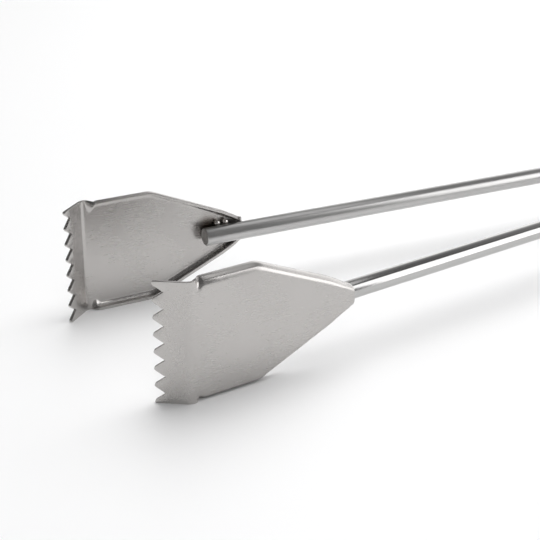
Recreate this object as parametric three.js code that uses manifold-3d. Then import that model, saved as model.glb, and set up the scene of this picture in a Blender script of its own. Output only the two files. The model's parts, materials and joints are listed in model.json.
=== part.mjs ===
// Spring loaded kitchen tongs with two toothed sheet-steel heads on long round bars.
//
// Millimetres, +Z up. +X runs from the hinge to the teeth, +Y points to the near arm, and the
// hinge pin stands along Z. The tongs are drawn open, as their spring holds them.
// Each arm is drawn in an arm frame of its own: x runs along the round bar from the hinge, y points
// away from the other arm and z = 0 is the bar's axis. The far arm is the mirror image of the near
// one, apart from its handle's ears, which are narrower and nest between the near handle's ears.

import * as THREE from 'three';
import { mergeVertices } from 'three/addons/utils/BufferGeometryUtils.js';
import Module from 'manifold-3d';

const wasm = await Module();
wasm.setup();

const degrees = Math.PI / 180;

// Stock and clearances.
const sheet = 1.0;
const barRadius = 3.0;
const weldCrevice = 0.1;
const slipGap = 0.3;
const washerGap = 0.1;

// The open pose and the two straight lengths of each arm.
const openHalfAngle = 4.76 * degrees;
const barOffset = 5.0;
const handleLength = 140.0;
const bareBarLength = 154.7;
const barOnHead = 15.7;
const barInHandle = 32.0;

// The head: a plate with a short neck end, a taper, a straight part and a toothed lip.
const headHeight = 38.0;
const neckHeight = 8.4;
const taperLength = 34.1;
const straightLength = 23.7;
const headToeIn = 2.0 * degrees;
const flangeWidth = 3.3;
const flangeBendRadius = 2.4;
const flangeFade = 3.4;
const flangeFadeGap = 0.3;
const neckFade = 3.0;
const outlineCornerBlend = 1.6;
const neckCornerRadius = 1.8;
const neckFollow = 7.0;
const lipAngle = 40.0 * degrees;
const lipBendRadius = 3.6;
const lipLength = 10.6;
const toothDepth = 3.3;
const toothCount = 8;
const outerToothInset = 0.5;
const toothRound = 0.42;
const toothCrown = 0.28;

// The handle: a channel that is open towards the other arm, with two ears at the hinge.
const nearHandleHeight = 23.0;
const channelBendRadius = 2.0;
const legDepthMiddle = 8.6;
const legDepthFront = 5.0;
const legTaperLength = 52.0;
const noseLength = 26.0;
const noseHeight = 10.0;
const nosePointRadius = 4.0;
const webRearEnd = 2.0;
const stopHeelLength = 3.2;

// The hinge and its spring.
const pinRadius = 2.5;
const pinHeadRadius = 4.8;
const pinHeadHeight = 1.7;
const washerThickness = 0.8;
const washerRadius = 6.0;
const bushWall = 1.1;
const springWire = 1.6;
const springCoilRadius = 5.7;
const springWholeTurns = 7;
const springLegLength = 34.0;

// The hanging loop: a bent wire whose two ends hook into the near handle's ears.
const loopWire = 2.5;
const loopSetback = 11.8;
const loopLength = 30.0;
const loopCornerRadius = 2.4;
const loopEarWall = 3.0;
const loopHookDepth = 1.4;

// Weld beads.
const weldBeadRadius = 0.9;
const weldBeadLength = 2.2;
const seamWeldLength = 7.0;

// Fineness of the curved shapes.
const barSides = 24;
const wireSides = 8;
const loopSides = 8;

// Places that follow from the sizes above.
const seatOffset = barOffset + barRadius + weldCrevice;
const webOuter = seatOffset + sheet;
const washerSpace = washerThickness + 2 * washerGap;
const farHandleHeight = nearHandleHeight - 2 * (sheet + washerSpace);
const holeRadius = pinRadius + slipGap;
const nearEarRadius = webOuter;
const farEarRadius = seatOffset - slipGap;
const neckStation = handleLength + bareBarLength;
const barEndStation = neckStation + barOnHead;
const barStartStation = handleLength - barInHandle;
const headLength = taperLength + straightLength;
const toothPitch = (headHeight - 2 * outerToothInset) / (toothCount - 1);
const earTop = nearHandleHeight / 2;

// ---------------------------------------------------------------------------------------------
// Solids

function solidOf(geometry) {
  const bare = geometry.clone();
  bare.deleteAttribute('normal');
  bare.deleteAttribute('uv');
  const merged = mergeVertices(bare, 1e-4);
  return new wasm.Manifold(new wasm.Mesh({
    numProp: 3,
    vertProperties: merged.attributes.position.array,
    triVerts: new Uint32Array(merged.index.array),
  }));
}

function geometryOf(solid) {
  const mesh = solid.getMesh();
  const geometry = new THREE.BufferGeometry();
  geometry.setAttribute('position', new THREE.BufferAttribute(mesh.vertProperties, 3));
  geometry.setIndex(new THREE.BufferAttribute(mesh.triVerts, 1));
  const flat = geometry.toNonIndexed();
  flat.computeVertexNormals();
  return flat;
}

// An outline in a plane, pushed out to a depth. The basis says where its own axes go.
function extrusion(shape, depth, basis, start, curveSegments = 8) {
  const geometry = new THREE.ExtrudeGeometry(shape, { depth, bevelEnabled: false, curveSegments });
  geometry.translate(0, 0, start);
  if (basis) geometry.applyMatrix4(basis);
  return geometry;
}

const alongX = new THREE.Matrix4().makeBasis(
  new THREE.Vector3(0, 1, 0),
  new THREE.Vector3(0, 0, 1),
  new THREE.Vector3(1, 0, 0),
);

const alongMinusY = new THREE.Matrix4().makeBasis(
  new THREE.Vector3(1, 0, 0),
  new THREE.Vector3(0, 0, 1),
  new THREE.Vector3(0, -1, 0),
);

// A round post that stands along Z.
function post(radius, height, x, y, sides = 32) {
  const geometry = new THREE.CylinderGeometry(radius, radius, height, sides);
  geometry.rotateX(Math.PI / 2);
  geometry.translate(x, y, 0);
  return geometry;
}

// A ring or pin turned about Z, from its profile of [radius, height] points.
function turned(profile, sides = 40) {
  const points = profile.map(([radius, height]) => new THREE.Vector2(radius, height));
  const geometry = new THREE.LatheGeometry(points, sides);
  geometry.rotateX(Math.PI / 2);
  return geometry;
}

function flatRing(innerRadius, outerRadius, thickness, height) {
  return turned([
    [innerRadius, height - thickness / 2],
    [outerRadius, height - thickness / 2],
    [outerRadius, height + thickness / 2],
    [innerRadius, height + thickness / 2],
    [innerRadius, height - thickness / 2],
  ]);
}

// ---------------------------------------------------------------------------------------------
// The head. Its own frame: x runs from the neck end to the lip, y = 0 is the outer face of the
// plate, with the sheet on the -y side, and z = 0 is the middle.

const flangeArc = flangeBendRadius * Math.PI / 2;
const flangeFlat = flangeWidth - flangeBendRadius;
const flangeDeveloped = flangeArc + flangeFlat;
const lipBendTangent = lipBendRadius * Math.tan(lipAngle / 2);
const lipBendStart = headLength - lipBendTangent;
const lipBendArc = lipBendRadius * lipAngle;
const lipFlatStart = lipBendStart + lipBendArc;
const lipTipStation = lipFlatStart + lipLength - lipBendTangent;
const flangeFullStation = lipBendStart - flangeFadeGap - flangeFade;

function smoothStep(value) {
  const t = Math.min(Math.max(value, 0), 1);
  return t * t * (3 - 2 * t);
}

// Half the plate's height at a station, with the corner between taper and straight part eased.
function halfHeightAt(station) {
  const slope = (headHeight - neckHeight) / 2 / taperLength;
  const fromCorner = station - taperLength;
  if (fromCorner > outlineCornerBlend) return headHeight / 2;
  if (fromCorner < -outlineCornerBlend) return headHeight / 2 + slope * fromCorner;
  const rise = outlineCornerBlend - fromCorner;
  return headHeight / 2 - slope * rise * rise / (4 * outlineCornerBlend);
}

// How far the flange is folded over at a station, as an angle.
function foldAt(station) {
  const foldAtNeck = 0.75;
  const fadeIn = foldAtNeck + (1 - foldAtNeck) * smoothStep(station / neckFade);
  const fadeOut = 1 - smoothStep((station - flangeFullStation) / flangeFade);
  return Math.PI / 2 * fadeIn * fadeOut;
}

// One half of the cross-section at a station. The developed distance past the start of the fold
// and the depth below the outer face give a point [z, y].
function foldedPoint(station, pastFold, depth) {
  const fold = foldAt(station);
  if (fold < 1e-3) {
    const start = halfHeightAt(station) - flangeDeveloped;
    return [start + pastFold, -depth];
  }
  const radius = flangeArc / fold;
  const reach = radius * Math.sin(fold) + flangeFlat * Math.cos(fold);
  const start = halfHeightAt(station) - reach;
  if (pastFold <= 0) return [start + pastFold, -depth];
  const turn = Math.min(pastFold / radius, fold);
  const straight = Math.max(pastFold - flangeArc, 0);
  return [
    start + (radius - depth) * Math.sin(turn) + straight * Math.cos(turn),
    -radius + (radius - depth) * Math.cos(turn) - straight * Math.sin(turn),
  ];
}

// Where the flat middle of the plate ends and the fold begins, at a station.
function foldStartAt(station) {
  const [start] = foldedPoint(station, 0, 0);
  return start;
}

// The side view of the plate: flat up to the lip's bend, round it, then straight to the teeth.
function lipPoint(station, y) {
  if (station <= lipBendStart) return [station, y];
  const turn = Math.min((station - lipBendStart) / lipBendRadius, lipAngle);
  const straight = Math.max(station - lipFlatStart, 0);
  const radius = lipBendRadius + y;
  return [
    lipBendStart + radius * Math.sin(turn) + straight * Math.cos(turn),
    -lipBendRadius + radius * Math.cos(turn) - straight * Math.sin(turn),
  ];
}

// The toothed edge: straight flanks down to V-shaped roots, with each tip rounded to a low crown.
function toothEdgeAt(z) {
  const fromTip = Math.abs(z / toothPitch - Math.round(z / toothPitch - 0.5) - 0.5) * toothPitch;
  if (fromTip < toothRound) return lipTipStation - toothCrown * (fromTip / toothRound) ** 2;
  const downFlank = (fromTip - toothRound) / (toothPitch / 2 - toothRound);
  return lipTipStation - toothCrown - (toothDepth - toothCrown) * downFlank;
}

// How far back the neck's edge lies at a height: its two corners are rounded. The rows behind the
// edge follow it less and less, so that they never cross.
function neckEdgeAt(z) {
  const past = Math.max(Math.abs(z) - (neckHeight / 2 - neckCornerRadius), 0);
  return neckCornerRadius - Math.sqrt(Math.max(neckCornerRadius ** 2 - past ** 2, 0));
}

// The columns of the head's grid, as developed distances from the middle at the lip: the edges, every
// tooth's tip, shoulders and roots, and the steps of the fold.
function headColumns() {
  const closest = 0.12;
  const columns = [headHeight / 2];
  for (let tooth = 0; tooth < toothCount / 2; tooth += 1) {
    const tip = (tooth + 0.5) * toothPitch;
    columns.push(tip - toothRound, tip, tip + toothRound, tooth * toothPitch);
  }
  const foldStart = headHeight / 2 - flangeDeveloped;
  const arcSteps = 4;
  for (let step = 0; step <= arcSteps; step += 1) {
    columns.push(foldStart + flangeArc * step / arcSteps);
  }
  const whole = columns.concat(columns.map((column) => -column));
  whole.sort((a, b) => a - b);
  return whole.filter((column, index) => index === 0 || column - whole[index - 1] > closest)
    .filter((column) => Math.abs(column) <= headHeight / 2);
}

// The rows of the head's grid, as stations from the neck's edge to the teeth.
function headRows() {
  const rows = [0, neckCornerRadius / 2, neckCornerRadius, 2 * neckCornerRadius, taperLength / 2];
  rows.push(taperLength - outlineCornerBlend, taperLength, taperLength + outlineCornerBlend);
  for (let step = 0; step <= 4; step += 1) rows.push(flangeFullStation + flangeFade * step / 4);
  for (let step = 0; step <= 5; step += 1) rows.push(lipBendStart + lipBendArc * step / 5);
  rows.push(lipTipStation);
  return rows;
}

// The head's sheet as a closed grid: the outer face, the inner face and the cut edges between them.
function headGeometry() {
  const columns = headColumns();
  const rows = headRows();
  const lipFoldStart = headHeight / 2 - flangeDeveloped;
  const positions = [];
  const outer = 0;
  const inner = 1;

  function pointAt(row, column, side) {
    let station = rows[row];
    const size = Math.abs(column);
    const past = size - lipFoldStart;
    const depth = side * sheet;
    let [z, y] = foldedPoint(station, past, depth);
    if (past <= 0) z = foldStartAt(station) * size / lipFoldStart;
    station += neckEdgeAt(z) * Math.max(1 - station / neckFollow, 0);
    if (row === rows.length - 1) station = toothEdgeAt(z);
    const [x, bentY] = lipPoint(station, y);
    return [x, bentY, Math.sign(column) * z];
  }

  for (const side of [outer, inner]) {
    for (let row = 0; row < rows.length; row += 1) {
      for (const column of columns) positions.push(...pointAt(row, column, side));
    }
  }

  const across = columns.length;
  const sideCount = rows.length * across;
  const at = (side, row, column) => side * sideCount + row * across + column;
  const faces = [];
  const quad = (a, b, c, d) => faces.push(a, b, c, a, c, d);
  for (let row = 0; row < rows.length - 1; row += 1) {
    for (let column = 0; column < across - 1; column += 1) {
      quad(at(outer, row, column), at(outer, row, column + 1), at(outer, row + 1, column + 1),
        at(outer, row + 1, column));
      quad(at(inner, row, column), at(inner, row + 1, column), at(inner, row + 1, column + 1),
        at(inner, row, column + 1));
    }
    const last = across - 1;
    quad(at(outer, row, 0), at(outer, row + 1, 0), at(inner, row + 1, 0), at(inner, row, 0));
    quad(at(outer, row, last), at(inner, row, last), at(inner, row + 1, last), at(outer, row + 1, last));
  }
  const end = rows.length - 1;
  for (let column = 0; column < across - 1; column += 1) {
    quad(at(outer, 0, column), at(inner, 0, column), at(inner, 0, column + 1), at(outer, 0, column + 1));
    quad(at(outer, end, column), at(outer, end, column + 1), at(inner, end, column + 1),
      at(inner, end, column));
  }

  const geometry = new THREE.BufferGeometry();
  geometry.setAttribute('position', new THREE.Float32BufferAttribute(positions, 3));
  geometry.setIndex(faces);
  return geometryOf(solidOf(geometry));
}

// Brings a shape from the head's frame to the arm's. The head is toed in about the bar's end, where
// its inner face meets the bar.
function headPlacement() {
  const toBarEnd = new THREE.Matrix4().makeTranslation(-barOnHead, sheet, 0);
  const toeIn = new THREE.Matrix4().makeRotationZ(-headToeIn);
  const toArm = new THREE.Matrix4().makeTranslation(barEndStation, seatOffset, 0);
  return toArm.multiply(toeIn).multiply(toBarEnd);
}

// ---------------------------------------------------------------------------------------------
// The round bar

function barGeometry() {
  const chamfer = 0.35;
  const length = barEndStation - barStartStation;
  const profile = [
    [0, 0],
    [barRadius - chamfer, 0],
    [barRadius, chamfer],
    [barRadius, length - chamfer],
    [barRadius - chamfer, length],
    [0, length],
  ];
  const points = profile.map(([radius, along]) => new THREE.Vector2(radius, along));
  const geometry = new THREE.LatheGeometry(points, barSides);
  geometry.rotateZ(-Math.PI / 2);
  geometry.translate(barStartStation, barOffset, 0);
  return geometry;
}

// ---------------------------------------------------------------------------------------------
// The handles

// A rounded box outline, used for the outside and the inside of the channel's section.
function roundedOutline(left, right, halfHeight, radius) {
  const shape = new THREE.Shape();
  shape.moveTo(left, -halfHeight);
  shape.lineTo(right - radius, -halfHeight);
  shape.absarc(right - radius, -halfHeight + radius, radius, -Math.PI / 2, 0, false);
  shape.absarc(right - radius, halfHeight - radius, radius, 0, Math.PI / 2, false);
  shape.lineTo(left, halfHeight);
  shape.closePath();
  return shape;
}

function channelSolid(height) {
  const rear = -40;
  const length = handleLength - rear;
  const mouth = -2 * webOuter;
  const outside = extrusion(
    roundedOutline(mouth, webOuter, height / 2, channelBendRadius),
    length, alongX, rear,
  );
  const inside = extrusion(
    roundedOutline(mouth - 1, seatOffset, height / 2 - sheet, channelBendRadius - sheet),
    length + 2, alongX, rear - 1,
  );
  return solidOf(outside).subtract(solidOf(inside));
}

// The outline of both legs in the plane of the hinge's swing, from the ear to the nose. The ear is
// drawn by drawEar, anticlockwise from behind the web to where the leg's edge leaves it.
function legSolid(earRadius, drawEar) {
  const tall = 2 * nearHandleHeight;
  const beyond = 5;
  const edgeOffset = webOuter - legDepthMiddle;
  const reach = Math.hypot(legTaperLength, edgeOffset);
  const leaveAngle = 2 * Math.PI + Math.atan2(edgeOffset, legTaperLength) - Math.acos(earRadius / reach);
  const startAngle = Math.acos(-webRearEnd / earRadius);
  const shape = new THREE.Shape();
  shape.moveTo(-webRearEnd, webOuter + beyond);
  drawEar(shape, startAngle, leaveAngle);
  shape.lineTo(legTaperLength, edgeOffset);
  shape.lineTo(handleLength + beyond, webOuter - legDepthFront);
  shape.lineTo(handleLength + beyond, webOuter + beyond);
  shape.closePath();
  return solidOf(extrusion(shape, tall, null, -tall / 2, 20));
}

// The web's outline seen from outside: full height, then a nose that narrows to a rounded end.
function webSolid() {
  const tall = nearHandleHeight;
  const shape = new THREE.Shape();
  shape.moveTo(-2 * tall, -tall);
  shape.lineTo(handleLength - noseLength, -tall);
  shape.lineTo(handleLength - noseLength, -nearHandleHeight / 2);
  shape.lineTo(handleLength - nosePointRadius, -noseHeight / 2);
  shape.quadraticCurveTo(handleLength, -noseHeight / 2, handleLength, 0);
  shape.quadraticCurveTo(handleLength, noseHeight / 2, handleLength - nosePointRadius, noseHeight / 2);
  shape.lineTo(handleLength - noseLength, nearHandleHeight / 2);
  shape.lineTo(handleLength - noseLength, tall);
  shape.lineTo(-2 * tall, tall);
  shape.closePath();
  return solidOf(extrusion(shape, 4 * webOuter, alongMinusY, -2 * webOuter));
}

// The hook hole of the hanging loop lies straight behind the pin while the tongs are open.
const loopHole = {
  x: -loopSetback * Math.cos(openHalfAngle),
  y: loopSetback * Math.sin(openHalfAngle),
};

// The near ear runs back into a lobe that holds the loop's hook.
function drawNearEar(shape, startAngle, leaveAngle) {
  const lobeRadius = loopWire / 2 + slipGap + loopEarWall;
  const lobeDirection = Math.PI - openHalfAngle;
  const spread = Math.asin(lobeRadius / nearEarRadius);
  const quarter = Math.PI / 2;
  shape.absarc(0, 0, nearEarRadius, startAngle, lobeDirection - spread, false);
  shape.absarc(loopHole.x, loopHole.y, lobeRadius, lobeDirection - quarter, lobeDirection + quarter, false);
  shape.absarc(0, 0, nearEarRadius, lobeDirection + spread, leaveAngle, false);
}

// The far ear carries a heel, whose flat meets the inside of the near web and stops the tongs from
// opening further.
function drawFarEar(shape, startAngle, leaveAngle) {
  const flatDirection = 3 * Math.PI / 2 - 2 * openHalfAngle;
  const heelBack = 40 * degrees;
  const cos = Math.cos(flatDirection);
  const sin = Math.sin(flatDirection);
  shape.absarc(0, 0, farEarRadius, startAngle, flatDirection - heelBack, false);
  shape.lineTo(farEarRadius * cos + stopHeelLength * sin, farEarRadius * sin - stopHeelLength * cos);
  shape.absarc(0, 0, farEarRadius, flatDirection, leaveAngle, false);
}

function handleGeometry(height, earRadius, drawEar) {
  const outline = legSolid(earRadius, drawEar);
  const pinHole = solidOf(post(holeRadius, 2 * height, 0, 0));
  return channelSolid(height).intersect(outline).intersect(webSolid()).subtract(pinHole);
}

function nearHandleGeometry() {
  const hookHole = solidOf(post(loopWire / 2 + slipGap, 2 * nearHandleHeight, loopHole.x, loopHole.y, 24));
  return geometryOf(handleGeometry(nearHandleHeight, nearEarRadius, drawNearEar).subtract(hookHole));
}

function farHandleGeometry() {
  return geometryOf(handleGeometry(farHandleHeight, farEarRadius, drawFarEar));
}

// ---------------------------------------------------------------------------------------------
// The hinge

function pinGeometry() {
  const shoulder = earTop + washerGap;
  const rim = shoulder + pinHeadHeight * 0.45;
  const crown = shoulder + pinHeadHeight;
  return turned([
    [0, -crown],
    [pinHeadRadius * 0.55, -crown + 0.25],
    [pinHeadRadius * 0.88, -crown + 0.7],
    [pinHeadRadius, -rim],
    [pinHeadRadius, -shoulder],
    [pinRadius, -shoulder],
    [pinRadius, shoulder],
    [pinHeadRadius, shoulder],
    [pinHeadRadius, rim],
    [pinHeadRadius * 0.88, crown - 0.7],
    [pinHeadRadius * 0.55, crown - 0.25],
    [0, crown],
  ]);
}

function bushGeometry() {
  const length = farHandleHeight - 2 * sheet - 2 * washerGap;
  return flatRing(holeRadius, holeRadius + bushWall, length, 0);
}

// The torsion spring's centre line: a leg on the near web, the coil, and a leg on the far web.
class SpringLine extends THREE.Curve {
  constructor() {
    super();
    this.arcLengthDivisions = 1200;
    this.sweep = Math.PI - 2 * openHalfAngle + springWholeTurns * 2 * Math.PI;
    this.rise = farHandleHeight - 2 * sheet - springWire - 2 * slipGap;
    this.coilLength = this.sweep * springCoilRadius;
    this.total = this.coilLength + 2 * springLegLength;
  }

  // A leg leaves the coil along its tangent and eases outwards until it lies on the web.
  static legPoint(along) {
    const restOffset = seatOffset - springWire / 2 - weldCrevice;
    const ease = smoothStep(along / springLegLength);
    return [along, springCoilRadius + (restOffset - springCoilRadius) * ease];
  }

  getPoint(t, target = new THREE.Vector3()) {
    const distance = t * this.total;
    const intoFarLeg = distance - springLegLength - this.coilLength;
    if (distance < springLegLength || intoFarLeg > 0) {
      const side = intoFarLeg > 0 ? -1 : 1;
      const [x, y] = SpringLine.legPoint(intoFarLeg > 0 ? intoFarLeg : springLegLength - distance);
      const cos = Math.cos(openHalfAngle);
      const sin = Math.sin(openHalfAngle);
      return target.set(x * cos - y * sin, side * (x * sin + y * cos), side * this.rise / 2);
    }
    const share = (distance - springLegLength) / this.coilLength;
    const angle = Math.PI / 2 + openHalfAngle + share * this.sweep;
    return target.set(
      springCoilRadius * Math.cos(angle),
      springCoilRadius * Math.sin(angle),
      this.rise / 2 - share * this.rise,
    );
  }
}

function wireSection(diameter, sides) {
  const shape = new THREE.Shape();
  for (let side = 0; side < sides; side += 1) {
    const angle = side / sides * 2 * Math.PI;
    const x = diameter / 2 * Math.cos(angle);
    const y = diameter / 2 * Math.sin(angle);
    if (side === 0) shape.moveTo(x, y);
    else shape.lineTo(x, y);
  }
  shape.closePath();
  return shape;
}

function springGeometry() {
  const stepsPerTurn = 16;
  const legSteps = 8;
  const line = new SpringLine();
  const steps = Math.round(stepsPerTurn * line.total / (2 * Math.PI * springCoilRadius)) + legSteps;
  return new THREE.ExtrudeGeometry(wireSection(springWire, wireSides), {
    steps,
    extrudePath: line,
    bevelEnabled: false,
  });
}

// ---------------------------------------------------------------------------------------------
// The hanging loop

function loopGeometry() {
  const level = earTop + loopCornerRadius;
  const inner = earTop - sheet - loopHookDepth;
  const back = -loopSetback;
  const bowCentre = back - (loopLength - level);
  const path = new THREE.CurvePath();
  const bow = new THREE.EllipseCurve(bowCentre, 0, level, level, Math.PI / 2, 3 * Math.PI / 2, false, 0);
  const toSpace = (x, z) => new THREE.Vector3(x, 0, z);
  const bowPoints = bow.getPoints(24).map((point) => toSpace(point.x, point.y));
  const halves = [1, -1].map((side) => ({
    hook: new THREE.LineCurve3(toSpace(back, side * inner), toSpace(back, side * (level - loopCornerRadius))),
    corner: new THREE.QuadraticBezierCurve3(
      toSpace(back, side * (level - loopCornerRadius)),
      toSpace(back, side * level),
      toSpace(back - loopCornerRadius, side * level),
    ),
    side: new THREE.LineCurve3(toSpace(back - loopCornerRadius, side * level), toSpace(bowCentre, side * level)),
  }));
  const reversed = (curve) => (curve.isLineCurve3
    ? new THREE.LineCurve3(curve.v2, curve.v1)
    : new THREE.QuadraticBezierCurve3(curve.v2, curve.v1, curve.v0));
  path.add(halves[0].hook);
  path.add(halves[0].corner);
  path.add(halves[0].side);
  path.add(new THREE.CatmullRomCurve3(bowPoints, false, 'centripetal'));
  path.add(reversed(halves[1].side));
  path.add(reversed(halves[1].corner));
  path.add(reversed(halves[1].hook));
  return new THREE.ExtrudeGeometry(wireSection(loopWire, loopSides), {
    steps: 64,
    extrudePath: path,
    bevelEnabled: false,
  });
}

// ---------------------------------------------------------------------------------------------
// Weld beads: each lies along the bar in the groove between the bar and the sheet it is welded to.

function beadGeometry(station, length, side, lift) {
  const fromBar = barRadius + weldBeadRadius + weldCrevice;
  const outwards = barRadius - weldBeadRadius + lift;
  const height = Math.sqrt(fromBar ** 2 - outwards ** 2);
  const geometry = new THREE.CapsuleGeometry(weldBeadRadius, length - 2 * weldBeadRadius, 4, 12);
  geometry.rotateZ(Math.PI / 2);
  geometry.translate(station, barOffset + outwards, side * height);
  return geometry;
}

// ---------------------------------------------------------------------------------------------
// Assembly

const brushedSheet = { color: 0xb7b2ad, roughness: 0.38, metalness: 1.0 };
const polishedBar = { color: 0xc9c9c8, roughness: 0.16, metalness: 1.0 };
const satinHandle = { color: 0xb4b3b1, roughness: 0.32, metalness: 1.0 };
const springSteel = { color: 0x9a9a9c, roughness: 0.3, metalness: 1.0 };
const brightWeld = { color: 0xd0cec9, roughness: 0.3, metalness: 1.0 };

function piece(name, geometry, finish) {
  const mesh = new THREE.Mesh(geometry, new THREE.MeshStandardMaterial(finish));
  mesh.name = name;
  return mesh;
}

// A copy of a geometry mirrored in the plane y = 0, with its faces turned to point out again.
function mirrored(geometry) {
  const flipped = geometry.index ? geometry.toNonIndexed() : geometry.clone();
  flipped.scale(1, -1, 1);
  const position = flipped.attributes.position;
  const corner = new THREE.Vector3();
  const other = new THREE.Vector3();
  for (let index = 0; index < position.count; index += 3) {
    corner.fromBufferAttribute(position, index + 1);
    other.fromBufferAttribute(position, index + 2);
    position.setXYZ(index + 1, other.x, other.y, other.z);
    position.setXYZ(index + 2, corner.x, corner.y, corner.z);
  }
  flipped.computeVertexNormals();
  return flipped;
}

// The head's welds: two short beads on top of the bar and one under it. The plate leans away from
// the bar towards its neck, so each bead is lifted by half of that lean.
function headWelds() {
  const places = [
    { name: 'upper_front', behindEnd: 5.6, side: 1 },
    { name: 'upper_rear', behindEnd: 8.6, side: 1 },
    { name: 'lower', behindEnd: 7.1, side: -1 },
  ];
  return places.map(({ name, behindEnd, side }) => {
    const lift = behindEnd * Math.tan(headToeIn) / 2;
    return ['head_' + name + '_weld', beadGeometry(barEndStation - behindEnd, weldBeadLength, side, lift)];
  });
}

// The handle's welds: a seam on either side of the bar at the nose and another at the bar's rear end.
function handleWelds() {
  const stations = {
    front: handleLength - nosePointRadius - seamWeldLength / 2,
    rear: barStartStation + seamWeldLength / 2,
  };
  const welds = [];
  for (const [end, station] of Object.entries(stations)) {
    for (const [edge, side] of [['upper', 1], ['lower', -1]]) {
      welds.push(['handle_' + edge + '_' + end + '_weld', beadGeometry(station, seamWeldLength, side, 0)]);
    }
  }
  return welds;
}

function armGroup(prefix, handle, isFar) {
  const group = new THREE.Group();
  const add = (name, geometry, finish) => {
    group.add(piece(prefix + '_' + name, isFar ? mirrored(geometry) : geometry, finish));
  };
  add('head', headGeometry().applyMatrix4(headPlacement()), brushedSheet);
  add('bar', barGeometry(), polishedBar);
  add('handle', handle, satinHandle);
  for (const [name, bead] of headWelds().concat(handleWelds())) add(name, bead, brightWeld);
  group.rotation.z = isFar ? -openHalfAngle : openHalfAngle;
  return group;
}

const tongs = new THREE.Group();
tongs.add(armGroup('near', nearHandleGeometry(), false));
tongs.add(armGroup('far', farHandleGeometry(), true));

const washerHeight = farHandleHeight / 2 + washerSpace / 2;
const hinge = new THREE.Group();
hinge.add(piece('hinge_pin', pinGeometry(), polishedBar));
hinge.add(piece('upper_washer', flatRing(holeRadius, washerRadius, washerThickness, washerHeight), polishedBar));
hinge.add(piece('lower_washer', flatRing(holeRadius, washerRadius, washerThickness, -washerHeight), polishedBar));
hinge.add(piece('spring_bush', bushGeometry(), satinHandle));
hinge.add(piece('return_spring', springGeometry(), springSteel));
hinge.add(piece('hanging_loop', loopGeometry(), polishedBar));
tongs.add(hinge);

// The origin is the middle of the tongs' outline, on the surface that the heads stand on.
const model = new THREE.Group();
model.add(tongs);
const extent = new THREE.Box3().setFromObject(model, true);
tongs.position.set(
  -(extent.min.x + extent.max.x) / 2,
  -(extent.min.y + extent.max.y) / 2,
  -extent.min.z,
);

export default model;
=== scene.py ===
# %% [markdown]
# # Spring loaded kitchen tongs, made in Blender
#
# These tongs are two arms joined by one hinge. Each arm is a toothed head of folded sheet steel, a round
# polished bar welded into it, and a channel handle welded to the bar's other end. A coil spring at the hinge
# holds the arms apart, and a wire loop at the very end hangs the tongs on a hook.
#
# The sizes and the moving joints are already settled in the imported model, which this script loads as a fixed
# frame. What is left is the looks: every piece is modelled again with soft folds, rounded cut edges and real
# welds, and gets a steel of its own. Nothing here changes a size, so each piece is compared with the solid
# that it stands for.

# %% Load the fixed frame
import bmesh
import bpy
import json
from math import acos, asin, atan2, cos, degrees, hypot, pi, radians, sin, sqrt, tan
from mathutils import Matrix, Vector


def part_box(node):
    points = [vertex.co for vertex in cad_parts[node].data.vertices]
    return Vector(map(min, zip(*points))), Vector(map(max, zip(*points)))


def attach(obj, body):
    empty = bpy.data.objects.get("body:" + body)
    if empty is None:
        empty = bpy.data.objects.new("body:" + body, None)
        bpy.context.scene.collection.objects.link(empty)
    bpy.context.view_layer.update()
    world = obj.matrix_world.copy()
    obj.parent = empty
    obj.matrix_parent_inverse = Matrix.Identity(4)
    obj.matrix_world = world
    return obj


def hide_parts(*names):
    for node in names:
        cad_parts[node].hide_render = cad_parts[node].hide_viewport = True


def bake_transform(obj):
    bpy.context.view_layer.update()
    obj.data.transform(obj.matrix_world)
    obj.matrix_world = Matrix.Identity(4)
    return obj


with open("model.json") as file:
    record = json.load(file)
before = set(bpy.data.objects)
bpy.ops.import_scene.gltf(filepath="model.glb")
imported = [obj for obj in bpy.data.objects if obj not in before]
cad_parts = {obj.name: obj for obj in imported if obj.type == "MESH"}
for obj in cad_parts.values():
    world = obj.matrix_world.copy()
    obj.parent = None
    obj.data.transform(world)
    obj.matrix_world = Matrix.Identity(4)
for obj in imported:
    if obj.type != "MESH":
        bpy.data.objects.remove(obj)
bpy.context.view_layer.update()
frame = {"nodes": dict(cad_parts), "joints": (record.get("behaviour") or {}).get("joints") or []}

mm = 0.001
hinge = Vector(next(joint["pos_m"] for joint in frame["joints"] if joint["name"] == "jaw_hinge"))
print("solids:", len(frame["nodes"]), " hinge at", [round(value / mm, 2) for value in hinge], "mm")

# %% [markdown]
# ## The camera
#
# A close view with a long lens, from the toothed end and a little above, so that one head is seen from
# outside and the other from inside. The camera's place is given from the middle of the near head, and its
# direction as a compass angle, a downward tilt and a slight roll. A long lens keeps the two arms nearly
# parallel, as in a catalogue picture.

# %% Place the camera
head_low, head_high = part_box("near_head")
camera_data = bpy.data.cameras.new("camera")
camera = bpy.data.objects.new("camera", camera_data)
bpy.context.scene.collection.objects.link(camera)
bpy.context.scene.camera = camera
camera_data.lens = 85.55
camera_data.sensor_width = 36.0
camera_data.clip_start = 10 * mm
stand = Vector((173.55, 286.32, 163.64)) * mm
camera.location = (head_low + head_high) / 2 + stand
compass, tilt, roll = radians(148.275), radians(23.80), radians(0.30)
looking = Vector((-sin(compass) * cos(tilt), cos(compass) * cos(tilt), -sin(tilt)))
aim = looking.to_track_quat("-Z", "Y").to_matrix().to_4x4() @ Matrix.Rotation(roll, 4, "Z")
camera.rotation_euler = aim.to_euler()
print("camera stands", round((camera.location - hinge).length / mm), "mm from the hinge")

# %% [markdown]
# ## Working by hand, in code
#
# Blender's tools act on whatever is selected. These few helpers do what the mouse would do: clear the
# selection, go into edit mode, and select the faces, edges or vertices that lie in a given place.

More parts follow.
